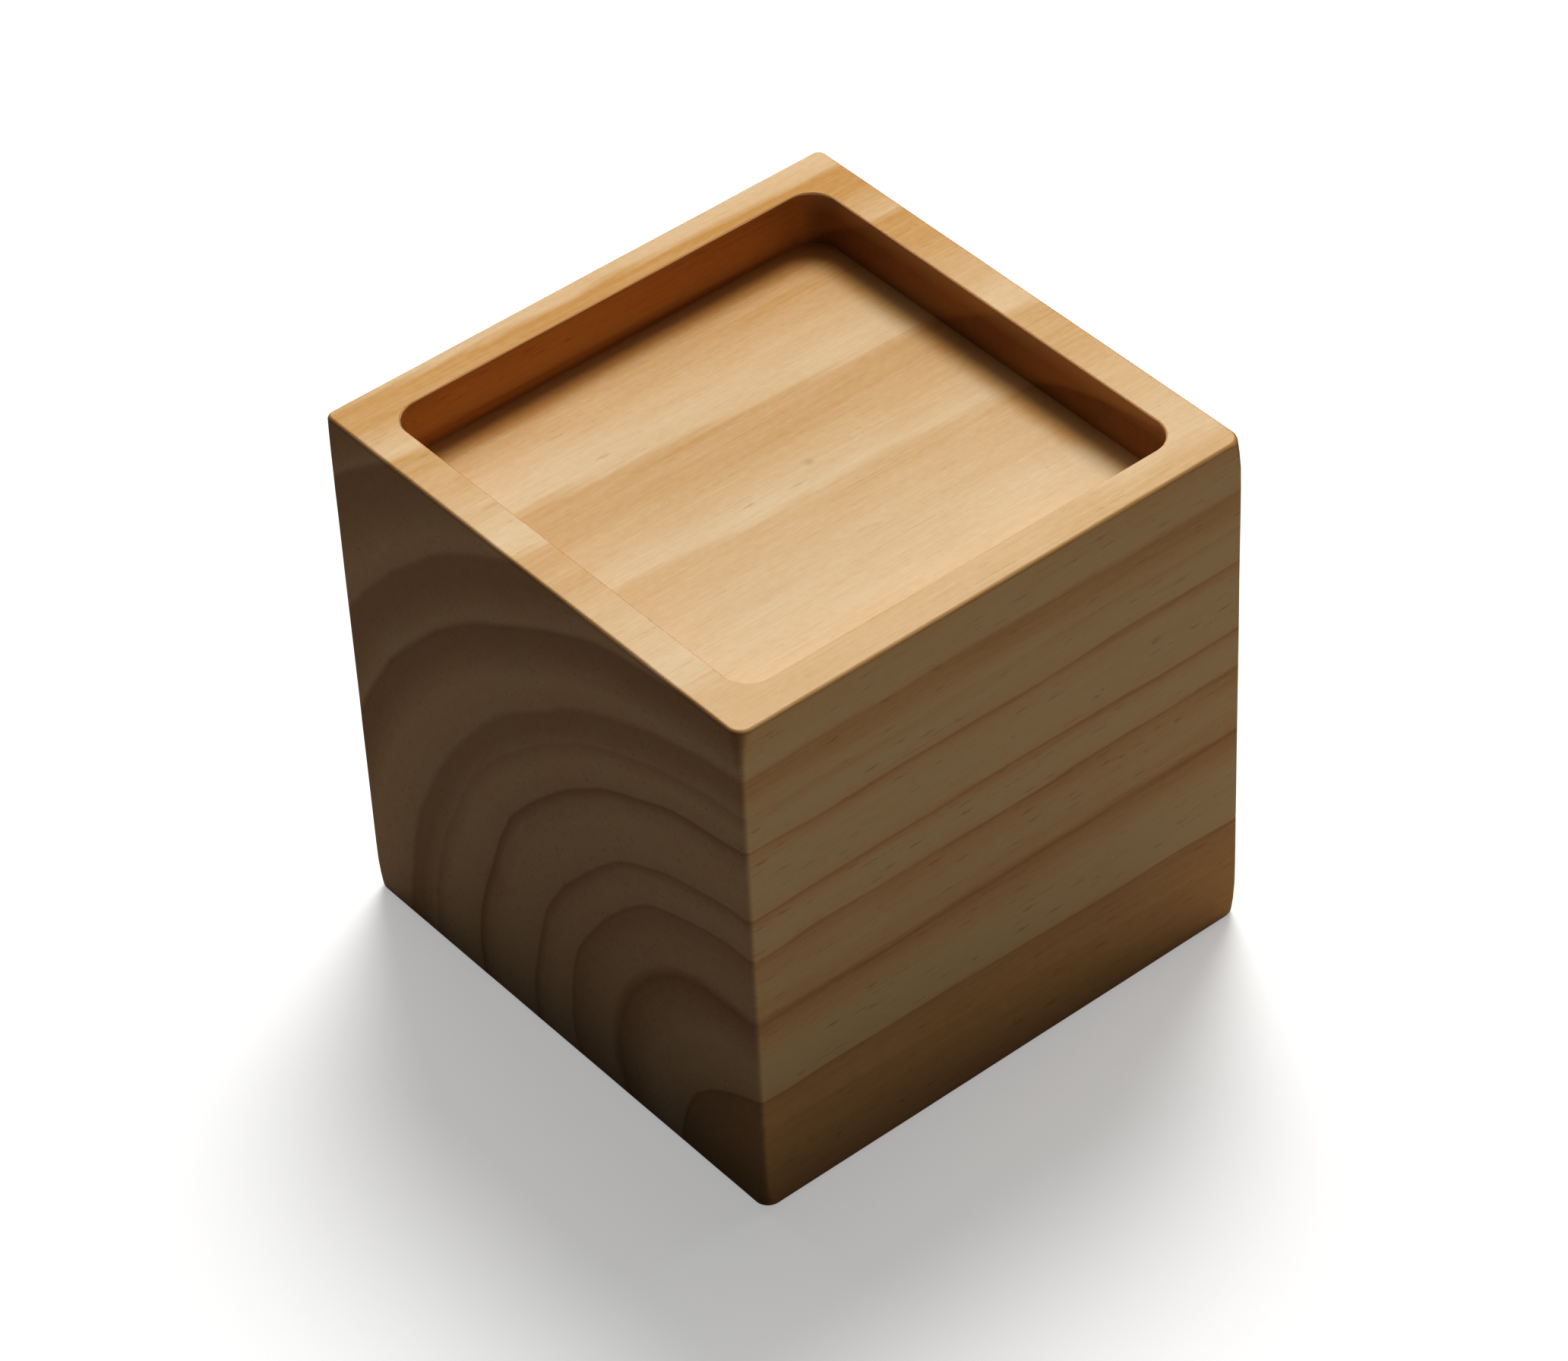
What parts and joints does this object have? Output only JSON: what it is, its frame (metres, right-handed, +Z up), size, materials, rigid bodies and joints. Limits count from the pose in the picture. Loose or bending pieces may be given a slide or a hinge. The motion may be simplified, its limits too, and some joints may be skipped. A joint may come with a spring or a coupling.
{
  "type": "bed riser",
  "caption": "Cube of solid pine with rounded edges and a shallow square pocket milled in its top; stands under a bed leg to lift the bed.",
  "frame": {"origin": "middle of the underside, on the floor that the block stands on", "axes": "+Z up through the middle of the pocket, +X along the grain of the wood, +Y across it"},
  "size_m": [0.1, 0.1, 0.1],
  "materials": {
    "pine": "sanded bare pine, matt"
  },
  "bodies": {
    "root": {"riser_block": "pine"}
  },
  "joints": []
}
